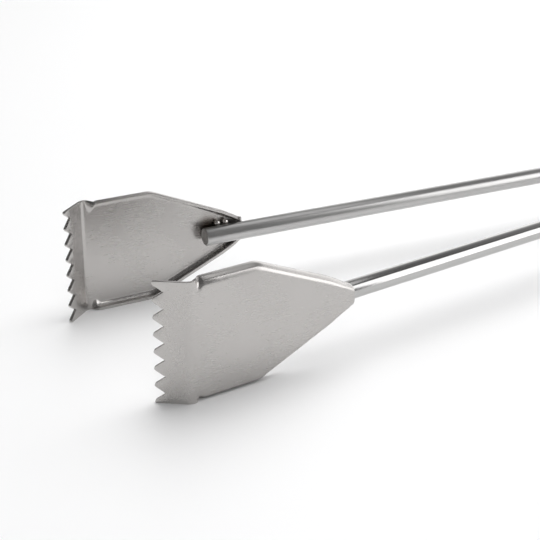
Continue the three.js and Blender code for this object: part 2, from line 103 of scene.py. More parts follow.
# %% Helpers for selecting
def start_clean():
    """Object mode, with nothing selected."""
    if bpy.context.mode != "OBJECT":
        bpy.ops.object.mode_set(mode="OBJECT")
    bpy.ops.object.select_all(action="DESELECT")


def choose(piece):
    """Makes one piece the only selected and active one."""
    start_clean()
    piece.select_set(True)
    bpy.context.view_layer.objects.active = piece


def edit(piece):
    """Opens one piece in edit mode."""
    choose(piece)
    bpy.ops.object.mode_set(mode="EDIT")


def middle(part):
    """The middle of a vertex, an edge or a face."""
    if isinstance(part, bmesh.types.BMVert):
        return part.co
    return sum((vertex.co for vertex in part.verts), Vector()) / len(part.verts)


def pick(kind, test):
    """In edit mode, selects only the parts of one kind that pass a test, and returns how many."""
    mesh = bpy.context.object.data
    bpy.ops.mesh.select_mode(type=kind)
    bpy.ops.mesh.select_all(action="DESELECT")
    shape = bmesh.from_edit_mesh(mesh)
    parts = {"VERT": shape.verts, "EDGE": shape.edges, "FACE": shape.faces}[kind]
    chosen = [part for part in parts if test(part)]
    for part in chosen:
        part.select_set(True)
    shape.select_flush_mode()
    bmesh.update_edit_mesh(mesh)
    return len(chosen)


def pull(x=0.0, y=0.0, z=0.0):
    """Extrudes the selection and moves it by this much."""
    bpy.ops.mesh.extrude_region_move(TRANSFORM_OT_translate={"value": (x, y, z)})


def modify(piece, kind, **settings):
    """Adds a modifier with these settings and applies it at once."""
    choose(piece)
    modifier = piece.modifiers.new(kind.lower(), kind)
    for name, value in settings.items():
        setattr(modifier, name, value)
    bpy.ops.object.modifier_apply(modifier=modifier.name)


print("helpers ready")

# %% [markdown]
# ## Rounded edges that a material can find
#
# No cut edge of real sheet is a knife edge, and the rub of use keeps it a little brighter than the face. So
# each piece gets a narrow bevel, and the faces of that bevel are written down in a face attribute for the
# rubbed and highlit edge. The steels read it later and give those faces a brighter colour. That colour is
# partly the rub and partly a painted highlight for the glint along the rounded edge, and the attribute keeps
# the painted bright line exactly as wide as the rounding.

# %% Helpers for finishing a piece
def soften(piece, width, segments=2, angle=35.0, smooth=30.0):
    """Rounds every edge sharper than an angle, marks the new faces for the worn edge and its painted
    highlight, and shades the rest smooth.
    """
    piece.data.materials.clear()
    markers = [bpy.data.materials.new(name) for name in ("face", "edge")]
    for marker in markers:
        piece.data.materials.append(marker)
    modify(
        piece, "BEVEL", width=width, segments=segments, limit_method="ANGLE",
        angle_limit=radians(angle), material=1, harden_normals=False,
    )
    # The marked faces are the rounded edge: its rub of wear, and the painted highlight that the steels put on
    # it.
    rubbed_and_highlit = piece.data.attributes.new("rubbed_and_highlit_edge", "FLOAT", "FACE")
    rubbed_and_highlit.data.foreach_set("value", [float(face.material_index == 1) for face in piece.data.polygons])
    piece.data.polygons.foreach_set("material_index", [0] * len(piece.data.polygons))
    piece.data.materials.clear()
    for marker in markers:
        bpy.data.materials.remove(marker)
    choose(piece)
    bpy.ops.object.shade_smooth_by_angle(angle=radians(smooth))


def settle(piece, name, body, slot, *solids):
    """Names a finished piece, brings its object to the origin and ties it to its body and its solids."""
    choose(piece)
    bpy.ops.object.transform_apply(location=True, rotation=True, scale=True)
    piece.name = piece.data.name = name
    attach(piece, body)
    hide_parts(*solids)
    corners = [Vector(corner) for corner in piece.bound_box]
    lows = [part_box(solid)[0] for solid in solids]
    highs = [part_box(solid)[1] for solid in solids]
    under = [(min(c[i] for c in corners) - min(c[i] for c in lows)) / mm for i in range(3)]
    over = [(max(c[i] for c in corners) - max(c[i] for c in highs)) / mm for i in range(3)]
    print(f"{name}: {len(piece.data.polygons)} faces; off its solid by",
          [round(value, 2) for value in under], [round(value, 2) for value in over], "mm")
    return piece


# %% [markdown]
# ## From a flat drawing of one arm to its place
#
# An arm is easiest to draw lying straight: x runs along the bar from the hinge, y away from the other arm
# and z up. One turn about the hinge opens the near arm. The far arm is the same arm mirrored, and a
# mirrored shape is inside out, so its normals are worked out again.

# %% Helpers for the two arms
open_half_angle = radians(4.76)
arms = {"near": 1, "far": -1}


def copy_of(piece):
    """A copy with its own mesh."""
    twin = piece.copy()
    twin.data = piece.data.copy()
    bpy.context.scene.collection.objects.link(twin)
    return twin


def put_on_arm(piece, arm):
    """Brings a shape from the straight drawing to the open arm."""
    side = arms[arm]
    choose(piece)
    bpy.ops.object.transform_apply(location=True, rotation=True, scale=True)
    place = Matrix.Translation(hinge) @ Matrix.Rotation(side * open_half_angle, 4, "Z")
    piece.data.transform(place @ Matrix.Scale(side, 4, Vector((0, 1, 0))))
    if side < 0:
        edit(piece)
        bpy.ops.mesh.select_all(action="SELECT")
        bpy.ops.mesh.normals_make_consistent(inside=False)
        bpy.ops.object.mode_set(mode="OBJECT")


print("arms open by", round(degrees(2 * open_half_angle), 2), "degrees")

# %% [markdown]
# ## The heads
#
# Each head is one stamping of 1 mm stainless sheet: a blank cut with a tapered neck and eight teeth, its
# long edges folded over by about three times the sheet's thickness to stiffen it, and its front bent in as
# a toothed lip. The folds die away before they reach the lip, where folded sheet can't be bent again.
#
# Extruding a profile can't make a fold that dies away, so the head is made as the press makes it. A grid
# is the flat blank. Its rows become stations along the head and its columns run from edge to edge. Then
# every vertex past the fold line is turned about it, and every vertex past the bend line about that one.

# %% The head's sizes
sheet = 1.0 * mm
head_height = 38.0 * mm
neck_height = 8.4 * mm
taper_length = 34.1 * mm
straight_length = 23.7 * mm
corner_blend = 1.6 * mm
neck_corner = 1.8 * mm
neck_fade = 3.0 * mm
neck_follow = 7.0 * mm
flange_width = 3.3 * mm
flange_radius = 2.4 * mm
flange_fade = 3.4 * mm
lip_angle = radians(40.0)
lip_radius = 3.6 * mm
lip_length = 10.6 * mm
tooth_count = 8
tooth_depth = 3.3 * mm
tooth_round = 0.62 * mm
tooth_crown = 0.42 * mm
tooth_margin = 1.0 * mm
tooth_pitch = (head_height - tooth_margin) / (tooth_count - 1)

fold_arc = flange_radius * pi / 2
fold_flat = flange_width - flange_radius
fold_whole = fold_arc + fold_flat
lip_tangent = lip_radius * tan(lip_angle / 2)
bend_start = taper_length + straight_length - lip_tangent
bend_arc = lip_radius * lip_angle
tip_station = bend_start + bend_arc + lip_length - lip_tangent
fade_start = bend_start - 0.3 * mm - flange_fade
print("tooth pitch", round(tooth_pitch / mm, 2), "mm; blank", round(tip_station / mm, 1), "mm long")

# %% The blank's rows and columns
def steps(start, end, count):
    """Evenly spaced values from start to end, both included."""
    return [start + (end - start) * step / count for step in range(count + 1)]


head_rows = sorted(set(
    steps(0, neck_corner, 3) + steps(neck_corner * 2, taper_length - corner_blend, 6)
    + steps(taper_length - corner_blend, taper_length + corner_blend, 4)[1:]
    + steps(taper_length + 4 * mm, fade_start, 3) + steps(fade_start, fade_start + flange_fade, 6)[1:]
    + steps(bend_start, bend_start + bend_arc, 10)
    + [bend_start + bend_arc + 2.5 * mm, tip_station - tooth_depth - 0.8 * mm, tip_station]
))

lip_fold_start = head_height / 2 - fold_whole
half_columns = [0.0]
for tooth in range(tooth_count // 2):
    tip = (tooth + 0.5) * tooth_pitch
    half_columns += [tip + tooth_round * share for share in (-1, -0.6, -0.25, 0, 0.25, 0.6, 1)]
    half_columns.append((tooth + 1) * tooth_pitch)
half_columns += steps(lip_fold_start, lip_fold_start + fold_arc, 8) + [head_height / 2]
half_columns = sorted(column for column in half_columns if column <= head_height / 2)
apart = [half_columns[0]]
for column in half_columns[1:]:
    if column - apart[-1] > 0.07 * mm:
        apart.append(column)
apart[-1] = head_height / 2
head_columns = [-column for column in reversed(apart[1:])] + apart
print(len(head_rows), "rows and", len(head_columns), "columns")

# %% How the blank is cut and folded
def eased(value):
    """A soft step from 0 to 1."""
    share = min(max(value, 0.0), 1.0)
    return share * share * (3 - 2 * share)


def half_height_at(station):
    """Half the head's height, with the corner between the taper and the straight part eased."""
    slope = (head_height - neck_height) / 2 / taper_length
    past = station - taper_length
    if past > corner_blend:
        return head_height / 2
    if past < -corner_blend:
        return head_height / 2 + slope * past
    return head_height / 2 - slope * (corner_blend - past) ** 2 / (4 * corner_blend)


def fold_at(station):
    """How far the edges are folded over: a quarter turn, less at the neck and none at the lip."""
    at_neck = 0.75
    fade_in = at_neck + (1 - at_neck) * eased(station / neck_fade)
    return pi / 2 * fade_in * (1 - eased((station - fade_start) / flange_fade))


def folded(station, column):
    """Where a point of the blank lies across the head after the fold, as height and offset."""
    fold = fold_at(station)
    half = half_height_at(station)
    past = abs(column) - lip_fold_start
    if fold < 1e-3:
        start, radius = half - fold_whole, None
    else:
        radius = fold_arc / fold
        start = half - radius * sin(fold) - fold_flat * cos(fold)
    if past <= 0:
        return start * column / lip_fold_start, 0.0
    side = 1 if column > 0 else -1
    if radius is None:
        return side * (start + past), 0.0
    turn = min(past / radius, fold)
    flat = max(past - fold_arc, 0.0)
    height = start + radius * sin(turn) + flat * cos(turn)
    return side * height, -radius + radius * cos(turn) - flat * sin(turn)


def tooth_edge_at(height):
    """The toothed edge: straight flanks down to sharp roots, each tip rounded to a low crown."""
    from_tip = abs(height / tooth_pitch - round(height / tooth_pitch - 0.5) - 0.5) * tooth_pitch
    if from_tip < tooth_round:
        return tip_station - tooth_crown * (from_tip / tooth_round) ** 2
    down = (from_tip - tooth_round) / (tooth_pitch / 2 - tooth_round)
    return tip_station - tooth_crown - (tooth_depth - tooth_crown) * down


def neck_edge_at(height):
    """How far the neck's edge lies back at a height: its two corners are rounded."""
    past = max(abs(height) - (neck_height / 2 - neck_corner), 0.0)
    return neck_corner - sqrt(max(neck_corner ** 2 - past ** 2, 0.0))


def bent(station, offset):
    """The side view: straight up to the bend, round it, then straight on to the teeth."""
    if station <= bend_start:
        return station, offset
    turn = min((station - bend_start) / lip_radius, lip_angle)
    flat = max(station - bend_start - bend_arc, 0.0)
    radius = lip_radius + offset
    along = bend_start + radius * sin(turn) + flat * cos(turn)
    return along, -lip_radius + radius * cos(turn) - flat * sin(turn)


# %% Press the head out of its blank
start_clean()
last_row, last_line = len(head_rows) - 1, len(head_columns) - 1
bpy.ops.mesh.primitive_grid_add(x_subdivisions=last_row, y_subdivisions=last_line, size=1)
head = bpy.context.object
for vertex in head.data.vertices:
    row = round((vertex.co.x + 0.5) * last_row)
    line = round((0.5 - vertex.co.y) * last_line)
    station = head_rows[row]
    height, offset = folded(station, head_columns[line])
    station += neck_edge_at(height) * max(1 - station / neck_follow, 0.0)
    if row == last_row:
        station = tooth_edge_at(height)
    along, offset = bent(station, offset)
    vertex.co = (along, offset, height)
outwards = tuple(round(value) for value in head.data.polygons[0].normal)
print("outer face", len(head.data.polygons), "faces, looking", outwards)

# %% [markdown]
# The flat face so far is the outside of the sheet. Solidify gives it the sheet's thickness inwards, and the
# bevel rounds the cut edges, teeth included. Then the head is toed in by two degrees about the end of the
# bar and copied for the other arm. An attribute called inner_side marks the faces that look at the other
# arm, because only they get the welds' heat tint and the painted shade round the bar's end.

# %% Give the head its thickness and place both heads
bar_on_head = 15.7 * mm
toe_in = radians(2.0)
handle_length = 140.0 * mm
bare_bar = 154.7 * mm
bar_end = handle_length + bare_bar + bar_on_head
bar_radius = 3.0 * mm
bar_offset = 5.0 * mm
weld_gap = 0.1 * mm
seat = bar_offset + bar_radius + weld_gap

modify(head, "SOLIDIFY", thickness=sheet, offset=-1.0, use_even_offset=True)
soften(head, 0.13 * mm, segments=2, angle=40, smooth=34)
to_bar_end = Matrix.Translation((-bar_on_head, sheet, 0))
to_arm = Matrix.Translation((bar_end, seat, 0)) @ Matrix.Rotation(-toe_in, 4, "Z")
head.data.transform(to_arm @ to_bar_end)
head_pieces = {}
for arm, piece in (("far", copy_of(head)), ("near", head)):
    put_on_arm(piece, arm)
    inside = piece.data.attributes.new("inner_side", "FLOAT", "FACE")
    inner = [float(arms[arm] * face.normal.y < -0.5) for face in piece.data.polygons]
    inside.data.foreach_set("value", inner)
    settle(piece, arm + "_head_sheet", arm + "_arm", "head_sheet", arm + "_head")
    head_pieces[arm] = piece

# %% [markdown]
# ## The bars
#
# Six millimetre polished bar, cut square with a saw and only broken at the edge. It is a cylinder with its
# two end rims bevelled, and a shallow inset on each end face for the saw's flat. Sixty four sides keep
# the long highlight clean.

# %% Turn the bars
bar_in_handle = 32.0 * mm
bar_start = handle_length - bar_in_handle
rim_round = 0.35 * mm


def round_bar():
    """One bar, drawn straight, from its end inside the handle to its end on the head."""
    length = bar_end - bar_start
    centre = (bar_start + bar_end) / 2
    start_clean()
    bpy.ops.mesh.primitive_cylinder_add(
        vertices=64, radius=bar_radius, depth=length, end_fill_type="NGON",
        location=(centre, bar_offset, 0), rotation=(0, pi / 2, 0),
    )
    bar = bpy.context.object
    bpy.ops.object.transform_apply(location=True, rotation=True, scale=True)
    edit(bar)
    pick("EDGE", lambda edge: max(abs(vertex.co.x - centre) for vertex in edge.verts) > length / 2 - mm
         and abs(edge.verts[0].co.x - edge.verts[1].co.x) < mm)
    bpy.ops.mesh.bevel(offset=rim_round, segments=4, affect="EDGES")
    pick("FACE", lambda face: abs(face.normal.x) > 0.99)
    bpy.ops.mesh.inset(thickness=0.5 * mm, depth=0.0)
    bpy.ops.mesh.inset(thickness=0.12 * mm, depth=-0.05 * mm)
    bpy.ops.object.mode_set(mode="OBJECT")
    soften(bar, 0.02 * mm, segments=1, angle=60, smooth=40)
    return bar


bar_pieces = {}
for arm in arms:
    bar = round_bar()
    put_on_arm(bar, arm)
    bar_pieces[arm] = settle(bar, arm + "_round_bar", arm + "_arm", "polished_bar", arm + "_bar")

# %% [markdown]
# ## The handles
#
# Each handle is a channel of the same sheet, open towards the other arm: a flat web to press on and two
# legs folded over along its sides. At the front the web narrows to a nose over the bar, and at the back the
# legs end in round ears for the hinge pin. The far handle is narrower, so its ears sit inside the near
# ones, and carries the heel that stops the tongs opening too far.
#
# The channel is made as a folding machine makes it: the web, its two edges pulled down as legs, the folds
# rounded, then the wall. The legs' outline and the holes are then cut with boolean shapes, because a cutter
# drawn in one go is easier to change than the edges that it leaves.

# %% Draw an outline by extruding one vertex
def draw_line(points, closed=False):
    """A chain of edges, drawn as one vertex extruded from point to point."""
    start_clean()
    bpy.ops.mesh.primitive_plane_add(size=mm)
    line = bpy.context.object
    bpy.ops.object.mode_set(mode="EDIT")
    bpy.ops.mesh.select_mode(type="VERT")
    bpy.ops.mesh.select_all(action="SELECT")
    bpy.ops.mesh.merge(type="CENTER")
    bpy.ops.transform.translate(value=points[0])
    for before, after in zip(points, points[1:]):
        pull(*(after - before))
    if closed:
        bpy.ops.mesh.select_all(action="SELECT")
        bpy.ops.mesh.edge_face_add()
    bpy.ops.object.mode_set(mode="OBJECT")
    return line


def arc(centre, radius, start, end, count):
    """Points on an arc in the plane of the hinge's swing."""
    across_x, up_y = centre[0], centre[1]
    return [Vector((across_x + radius * cos(angle), up_y + radius * sin(angle), 0))
            for angle in steps(start, end, count)]


def cut(piece, cutter, operation):
    """Cuts a piece with another solid, which is then removed."""
    modify(piece, "BOOLEAN", object=cutter, operation=operation, solver="EXACT")
    bpy.data.objects.remove(cutter)


def tall_solid(points, reach=40 * mm):
    """A closed outline in the plane of the swing, pulled up into a tall solid."""
    solid = draw_line([point - Vector((0, 0, reach)) for point in points], closed=True)
    edit(solid)
    bpy.ops.mesh.select_all(action="SELECT")
    pull(z=2 * reach)
    bpy.ops.mesh.select_all(action="SELECT")
    bpy.ops.mesh.normals_make_consistent(inside=False)
    bpy.ops.object.mode_set(mode="OBJECT")
    return solid


print("outline tools ready")

# %% The handle's sizes
web_outer = seat + sheet
near_height = 23.0 * mm
washer_space = 1.0 * mm
far_height = near_height - 2 * (sheet + washer_space)
fold_radius = 2.0 * mm
leg_middle = 8.6 * mm
leg_front = 5.0 * mm
leg_taper = 52.0 * mm
nose_length = 26.0 * mm
nose_height = 10.0 * mm
nose_point = 4.0 * mm
pin_radius = 2.5 * mm
pin_hole = pin_radius + 0.3 * mm
near_ear = web_outer
far_ear_gap = 0.3 * mm
far_ear = seat - far_ear_gap
loop_wire = 2.5 * mm
loop_setback = 11.8 * mm
loop_hole = Vector((-loop_setback * cos(open_half_angle), loop_setback * sin(open_half_angle), 0))
print("handle heights", round(near_height / mm, 1), "and", round(far_height / mm, 1), "mm")


# %% The ears' outlines
def near_ear_points(start, leave):
    """The near ear, which runs back into a lobe that holds the hanging loop."""
    lobe = loop_wire / 2 + 3.3 * mm
    direction = pi - open_half_angle
    spread = asin(lobe / near_ear)
    return (
        arc((0, 0), near_ear, start, direction - spread, 8)
        + arc(loop_hole, lobe, direction - pi / 2, direction + pi / 2, 24)
        + arc((0, 0), near_ear, direction + spread, leave, 20)
    )


def far_ear_points(start, leave):
    """The far ear, with the heel whose flat stops the tongs from opening further."""
    flat = 3 * pi / 2 - 2 * open_half_angle
    heel = 3.2 * mm
    corner = Vector((far_ear * cos(flat) + heel * sin(flat), far_ear * sin(flat) - heel * cos(flat), 0))
    before_heel = arc((0, 0), far_ear, start, flat - radians(40), 24)
    return before_heel + [corner] + arc((0, 0), far_ear, flat, leave, 8)


def leg_outline(ear, ear_points):
    """Both legs seen along the hinge pin: the ear, then a belly that narrows towards the nose."""
    beyond = 5 * mm
    behind = 2.0 * mm
    edge = web_outer - leg_middle
    leave = 2 * pi + atan2(edge, leg_taper) - acos(ear / hypot(leg_taper, edge))
    start = acos(-behind / ear)
    far_end = handle_length + beyond
    return (
        [Vector((-behind, web_outer + beyond, 0))] + ear_points(start, leave)
        + [Vector((leg_taper, edge, 0)), Vector((far_end, web_outer - leg_front, 0)),
           Vector((far_end, web_outer + beyond, 0))]
    )


# %% Fold the channel and cut it to shape
def channel(height):
    """The folded channel: a web with a nose and two long legs, with its wall."""
    rear = -30 * mm
    legs_before_cutting = 20 * mm
    front = handle_length - nose_length
    start_clean()
    bpy.ops.mesh.primitive_plane_add(size=1)
    piece = bpy.context.object
    piece.data.transform(Matrix.Translation(((rear + front) / 2, web_outer, 0))
                         @ Matrix.Diagonal((front - rear, 1, height, 1)) @ Matrix.Rotation(-pi / 2, 4, "X"))
    edit(piece)
    pick("EDGE", lambda edge: middle(edge).x > front - 0.1 * mm)
    pull(x=nose_length - nose_point)
    bpy.ops.transform.resize(value=(1, 1, nose_height / height),
                             center_override=(front, web_outer, 0))
    pull(x=nose_point)
    pick("VERT", lambda vertex: vertex.co.x > handle_length - 0.1 * mm)
    bpy.ops.mesh.bevel(offset=nose_point, segments=8, affect="VERTICES")
    pick("EDGE", lambda edge: abs(middle(edge).z) > height / 2 - 0.01 * mm)
    pull(y=-legs_before_cutting)
    pick("EDGE", lambda edge: abs(middle(edge).z) > height / 2 - 0.01 * mm
         and abs(middle(edge).y - web_outer) < 0.01 * mm)
    bpy.ops.mesh.bevel(offset=fold_radius, segments=8, affect="EDGES")
    bpy.ops.mesh.select_all(action="SELECT")
    bpy.ops.mesh.remove_doubles(threshold=0.02 * mm)
    bpy.ops.object.mode_set(mode="OBJECT")
    modify(piece, "SOLIDIFY", thickness=sheet, offset=-1.0, use_even_offset=True)
    return piece


def hole_cutter(radius, place):
    """A round cutter that stands along the hinge's axis."""
    start_clean()
    bpy.ops.mesh.primitive_cylinder_add(vertices=48, radius=radius, depth=80 * mm, location=place)
    return bpy.context.object


def handle(arm, height, ear, ear_points, holes):
    """One handle: the channel, its legs cut to their outline, its holes, and its rounded edges."""
    piece = channel(height)
    cut(piece, tall_solid(leg_outline(ear, ear_points)), "INTERSECT")
    for radius, place in holes:
        cut(piece, hole_cutter(radius, place), "DIFFERENCE")
    soften(piece, 0.16 * mm, segments=2, angle=38, smooth=30)
    put_on_arm(piece, arm)
    return settle(piece, arm + "_handle_channel", arm + "_arm", "handle_sheet", arm + "_handle")


loop_hole_radius = loop_wire / 2 + 0.3 * mm
handle_pieces = {
    "near": handle("near", near_height, near_ear, near_ear_points,
                   [(pin_hole, (0, 0, 0)), (loop_hole_radius, loop_hole)]),
    "far": handle("far", far_height, far_ear, far_ear_points, [(pin_hole, (0, 0, 0))]),
}

# %% [markdown]
# ## The hinge: pin, washers and bush
#
# One solid rivet carries both ears. Two thin washers keep the ears from rubbing, and a short bush over the
# pin carries the spring's coil. All four are turned parts, so each is half a section spun round the pin's
# axis, with its doubles merged and its normals worked out again, because spin can leave either side out.
# Their sections are drawn in millimetres.

# %% Spin the turned parts
def turned(profile, sides=64):
    """Spins a half section of (radius, height) points in millimetres round the hinge's axis."""
    piece = draw_line([Vector((radius * mm, 0, height * mm)) for radius, height in profile])
    edit(piece)
    bpy.ops.mesh.select_all(action="SELECT")
    bpy.ops.mesh.spin(steps=sides, angle=2 * pi, center=(0, 0, 0), axis=(0, 0, 1))
    bpy.ops.mesh.select_all(action="SELECT")
    bpy.ops.mesh.remove_doubles(threshold=0.01 * mm)
    bpy.ops.mesh.normals_make_consistent(inside=False)
    bpy.ops.object.mode_set(mode="OBJECT")
    piece.data.transform(Matrix.Translation(hinge))
    return piece


def ring(inner, outer, thickness, height):
    """A flat ring's section."""
    low, high = height - thickness / 2, height + thickness / 2
    return [(inner, low), (outer, low), (outer, high), (inner, high), (inner, low)]


head_radius, head_rise, shoulder, head_rim = 4.8, 1.7, 11.6, 0.5
dimple = ((0.9, 0.12), (0.6, 0.3), (0.0, 0.34))
dome = [(head_radius * sin(angle), shoulder + head_rim + (head_rise - head_rim) * cos(angle))
        for angle in steps(pi / 2, radians(14), 10)]
upper_half = [(pin_radius / mm, shoulder), (head_radius, shoulder)] + dome
upper_half += [(radius, shoulder + head_rise - depth) for radius, depth in dimple]
lower_half = [(radius, -height) for radius, height in reversed(upper_half)]
pin = turned(lower_half + upper_half)
soften(pin, 0.08 * mm, segments=2, angle=50, smooth=35)
settle(pin, "hinge_rivet", "near_arm", "hinge_steel", "hinge_pin")

bore, washer_rim, washer_thickness, bush_rim, bush_length = 2.8, 6.0, 0.8, 3.9, 16.8
washer_height = far_height / 2 / mm + 0.5
for name, side in (("upper", 1), ("lower", -1)):
    washer = turned(ring(bore, washer_rim, washer_thickness, side * washer_height))
    soften(washer, 0.12 * mm, segments=3, angle=50, smooth=35)
    settle(washer, name + "_thrust_washer", "near_arm", "hinge_steel", name + "_washer")

bush = turned(ring(bore, bush_rim, bush_length, 0.0))
soften(bush, 0.2 * mm, segments=3, angle=50, smooth=35)
settle(bush, "spring_sleeve", "near_arm", "hinge_steel", "spring_bush")

# %% [markdown]
# ## The spring
#
# A torsion spring of 1.6 mm wire: seven whole turns on the bush and a straight leg along the inside of each
# handle. Its line is worked out by a loop, drawn vertex by vertex, made a curve and given the wire's
# thickness.

# %% Wind the spring
spring_wire = 1.6 * mm
coil_radius = 5.7 * mm
spring_turns = 7
leg_length = 34.0 * mm
coil_rise = far_height - 2 * sheet - spring_wire - 0.6 * mm


def wire_from(points, diameter, sides=6):
    """A round wire along a line of points, as a closed mesh."""
    line = draw_line(points)
    choose(line)
    bpy.ops.object.convert(target="CURVE")
    line = bpy.context.object
    line.data.bevel_depth = diameter / 2
    line.data.bevel_resolution = sides
    line.data.use_fill_caps = True
    bpy.ops.object.convert(target="MESH")
    line = bpy.context.object
    edit(line)
    bpy.ops.mesh.select_all(action="SELECT")
    bpy.ops.mesh.remove_doubles(threshold=0.005 * mm)
    bpy.ops.mesh.normals_make_consistent(inside=False)
    bpy.ops.object.mode_set(mode="OBJECT")
    return line


def leg_points(side):
    """One leg, from the coil to its end on the web, easing outwards all the way."""
    resting = seat - spring_wire / 2 - 0.1 * mm
    points = []
    for along in steps(0, leg_length, 14):
        out = coil_radius + (resting - coil_radius) * eased(along / leg_length)
        turned_x = along * cos(open_half_angle) - out * sin(open_half_angle)
        turned_y = along * sin(open_half_angle) + out * cos(open_half_angle)
        points.append(Vector((turned_x, side * turned_y, side * coil_rise / 2)))
    return points


sweep = pi - 2 * open_half_angle + spring_turns * 2 * pi
coil = []
for angle in steps(0, sweep, spring_turns * 36)[1:-1]:
    turn = pi / 2 + open_half_angle + angle
    coil.append(Vector((coil_radius * cos(turn), coil_radius * sin(turn), coil_rise * (0.5 - angle / sweep))))
spring_line = [point + hinge for point in leg_points(1)[::-1] + coil + leg_points(-1)]
spring = wire_from(spring_line, spring_wire)
soften(spring, 0.15 * mm, segments=2, angle=50, smooth=50)
choose(spring)
spring.name = spring.data.name = "torsion_spring"
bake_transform(spring)
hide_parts("return_spring")
print("torsion_spring:", spring_turns, "turns,", len(spring.data.polygons), "faces")

# %% [markdown]
# ## The hanging loop
#
# A bow of 2.5 mm polished wire whose two ends turn in and hook through the near handle's ears. The same
# wire helper makes it, from straight runs, two tight corners and a half circle.

# %% Bend the hanging loop
ear_top = near_height / 2
loop_corner = 2.4 * mm
level = ear_top + loop_corner
hook_inner = ear_top - sheet - 1.4 * mm
back = -loop_setback
bow_centre = back - (30.0 * mm - level)


def across(x, height):
    """A point in the upright plane through the hinge, which the loop lies in."""
    return hinge + Vector((x, 0, height))


def hook_and_corner(side):
    """From the wire's end, straight out through the ear and round the corner."""
    points = [across(back, side * height) for height in steps(hook_inner, level - loop_corner, 3)]
    for angle in steps(0, pi / 2, 8)[1:]:
        behind, inwards = loop_corner * (1 - cos(angle)), loop_corner * (1 - sin(angle))
        points.append(across(back - behind, side * (level - inwards)))
    return points


bow = [across(bow_centre - level * sin(angle), level * cos(angle)) for angle in steps(0, pi, 48)]
loop = wire_from(hook_and_corner(1) + bow + hook_and_corner(-1)[::-1], loop_wire, sides=8)
soften(loop, 0.25 * mm, segments=3, angle=50, smooth=50)
settle(loop, "wire_hanging_loop", "loop", "polished_wire", "hanging_loop")

# %% [markdown]
# ## The welds
#
# Every joint between bar and sheet is a short run of weld in the groove between them. A run is a chain of
# overlapping puddles, so it is a sphere drawn out along the bar whose rings are swollen and pinched in turn.
# One run is modelled at each length and copied to its places, and each copy keeps a mesh of its own.

# %% Lay the welds
weld_radius = 0.9 * mm


def weld_run(length, puddles):
    """One weld run along x, centred on the origin."""
    rings = 8 * puddles
    start_clean()
    bpy.ops.mesh.primitive_uv_sphere_add(segments=20, ring_count=rings, radius=1)
    run = bpy.context.object
    run.data.transform(Matrix.Rotation(pi / 2, 4, "Y"))
    for vertex in run.data.vertices:
        share = asin(max(-1.0, min(1.0, vertex.co.x))) / (pi / 2)
        round_end = sqrt(max(0.0, 1 - abs(share) ** 5))
        puddle = abs(sin(pi * puddles * (share + 1) / 2))
        size = weld_radius * round_end * (0.86 + 0.2 * puddle)
        spread = hypot(vertex.co.y, vertex.co.z)
        shape = size / spread if spread > 1e-6 else 0.0
        vertex.co = (share * length / 2, vertex.co.y * shape, vertex.co.z * shape)
    choose(run)
    bpy.ops.object.shade_smooth()
    rubbed_and_highlit = run.data.attributes.new("rubbed_and_highlit_edge", "FLOAT", "FACE")
    rubbed_and_highlit.data.foreach_set("value", [0.0] * len(run.data.polygons))
    return run


def in_groove(run, station, side, lift):
    """Lays a copy of a run in the groove on one side of the bar."""
    from_bar = bar_radius + weld_radius + weld_gap
    outwards = bar_radius - weld_radius + lift
    height = side * sqrt(from_bar ** 2 - outwards ** 2)
    copy = copy_of(run)
    copy.data.transform(Matrix.Translation((station, bar_offset + outwards, height)))
    return copy


short_run = weld_run(2.2 * mm, 1)
long_run = weld_run(7.0 * mm, 6)
from_end = 3.5 * mm
places = [("head_" + name, short_run, bar_end - behind * mm, side, behind * mm * tan(toe_in) / 2)
          for name, behind, side in (("upper_front", 5.6, 1), ("upper_rear", 8.6, 1), ("lower", 7.1, -1))]
for end, station in (("front", handle_length - nose_point - from_end), ("rear", bar_start + from_end)):
    for edge, side in (("upper", 1), ("lower", -1)):
        places.append(("handle_" + edge + "_" + end, long_run, station, side, 0.0))
weld_pieces = []
for arm in arms:
    for name, run, station, side, lift in places:
        weld = in_groove(run, station, side, lift)
        put_on_arm(weld, arm)
        name = arm + "_" + name
        weld_pieces.append(settle(weld, name + "_bead", arm + "_arm", "weld_bead", name + "_weld"))
for run in (short_run, long_run):
    bpy.data.objects.remove(run)

# %% [markdown]
# ## The steels
#
# All of it is stainless steel, and what tells the pieces apart is the finish: satin sheet, polished bar,
# drawn spring wire, bright weld. Four node groups make them, each built once and placed with its own
# values: the grain left by the belt, the faint smudges left by hands and polishing, the finish that joins
# those two with the brighter rub along worn edges, which is partly a painted highlight, and the brown heat
# tint round the welds on the heads, which is partly painted shade and a painted reflection of the bar. The
# groups only put out values that change over the surface. What is the same all over stays on the shader.

# %% Node helpers and the four effects
def new_group(name, inputs, outputs):
    """An empty shader group with named inputs and outputs."""
    group = bpy.data.node_groups.new(name, "ShaderNodeTree")
    for label, kind in inputs:
        group.interface.new_socket(name=label, in_out="INPUT", socket_type="NodeSocket" + kind)
    for label, kind in outputs:
        group.interface.new_socket(name=label, in_out="OUTPUT", socket_type="NodeSocket" + kind)
    return group, group.nodes.new("NodeGroupInput"), group.nodes.new("NodeGroupOutput")


def noise(tree, vector, detail, roughness):
    """A noise texture on a vector."""
    node = tree.nodes.new("ShaderNodeTexNoise")
    node.inputs["Scale"].default_value = 1.0
    node.inputs["Detail"].default_value = detail
    node.inputs["Roughness"].default_value = roughness
    tree.links.new(vector, node.inputs["Vector"])
    return node.outputs["Fac"]


def stretched(tree, vector, along, across_it):
    """A vector scaled by one value along the piece and another across it."""
    scale = tree.nodes.new("ShaderNodeCombineXYZ")
    times = tree.nodes.new("ShaderNodeVectorMath")
    times.operation = "MULTIPLY"
    tree.links.new(along, scale.inputs["X"])
    tree.links.new(across_it, scale.inputs["Y"])
    tree.links.new(across_it, scale.inputs["Z"])
    tree.links.new(vector, times.inputs[0])
    tree.links.new(scale.outputs["Vector"], times.inputs[1])
    return times.outputs["Vector"]


